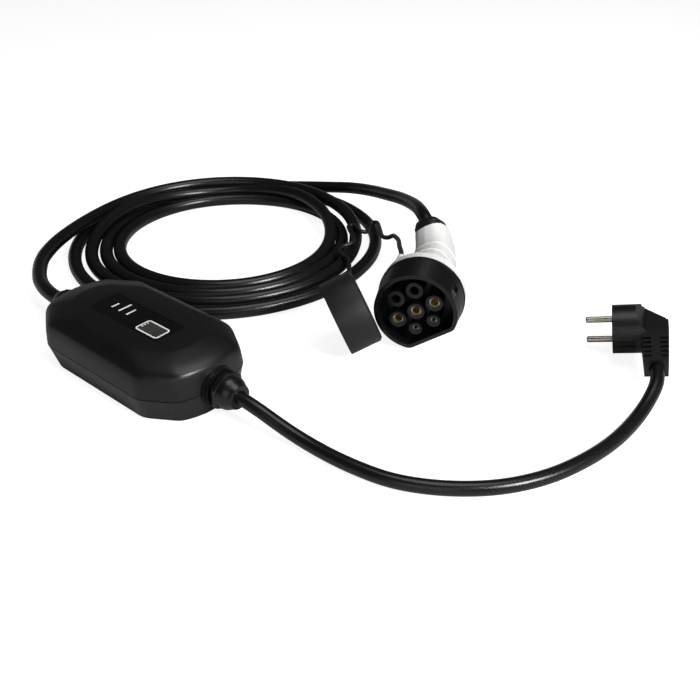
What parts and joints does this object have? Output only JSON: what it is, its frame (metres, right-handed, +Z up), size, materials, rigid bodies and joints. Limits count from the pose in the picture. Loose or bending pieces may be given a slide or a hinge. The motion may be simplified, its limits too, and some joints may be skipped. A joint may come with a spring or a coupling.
{
  "type": "portable electric vehicle charger",
  "caption": "Portable electric car charging cable with a flat control box, angled mains plug, coiled cable, vehicle connector and tethered dust cap.",
  "frame": {"origin": "bottom centre of the control box, on the surface it lies on", "axes": "+X along the box to the mains gland, +Y across the box to the coil, +Z up"},
  "size_m": [0.5742, 0.3945, 0.0682],
  "materials": {
    "box_plastic": "moulded black, fine satin grain",
    "panel_gloss": "glossy dark panel",
    "light_window": "milky white light window",
    "seal_rubber": "soft black seal",
    "circuit_green": "solder mask",
    "component_dark": "component housing",
    "terminal_green": "terminal block",
    "screw_steel": "zinc plated",
    "copper_core": "insulated copper core",
    "gland_nylon": "black nylon",
    "cable_rubber": "black cable sheath",
    "plug_rubber": "moulded black plug",
    "pin_nickel": "nickel plated",
    "collar_plastic": "satin black",
    "contact_gold": "gold-coloured plating",
    "contact_silver": "silver plated",
    "handle_white": "white, smooth",
    "cap_rubber": "black elastomer"
  },
  "bodies": {
    "root": {"bottom_shell": "box_plastic", "top_cover": "box_plastic", "housing_seal": "seal_rubber", "front_panel": "panel_gloss", "light_windows": "light_window", "indicator_board": "circuit_green", "indicator_leds": "light_window", "indicator_screws": "screw_steel", "circuit_board": "circuit_green", "board_screws": "screw_steel", "housing_screws": "screw_steel", "relays": "component_dark", "leakage_sensor": "component_dark", "supply_module": "component_dark", "supply_capacitors": "component_dark", "mains_terminal": "terminal_green", "vehicle_terminal": "terminal_green", "mains_cores": "copper_core", "vehicle_cores": "copper_core", "mains_gland_body": "gland_nylon", "mains_gland_seal": "seal_rubber", "mains_gland_nut": "gland_nylon", "mains_gland_locknut": "gland_nylon", "vehicle_gland_body": "gland_nylon", "vehicle_gland_seal": "seal_rubber", "vehicle_gland_nut": "gland_nylon", "vehicle_gland_locknut": "gland_nylon", "mains_lead": "cable_rubber", "plug_body": "plug_rubber", "plug_pins": "pin_nickel", "earth_clips": "pin_nickel", "vehicle_cable_lead_in": "cable_rubber", "vehicle_cable_coil": "cable_rubber", "vehicle_cable_lead_out": "cable_rubber", "connector_collar": "collar_plastic", "contact_carrier": "collar_plastic", "power_contacts": "contact_gold", "pilot_contacts": "contact_silver", "handle_left": "handle_white", "handle_right": "handle_white", "handle_screws": "screw_steel", "cable_clamp": "component_dark", "connector_boot": "cap_rubber", "connector_cores": "copper_core", "dust_cap": "cap_rubber", "cap_tether": "cap_rubber"}
  },
  "joints": []
}
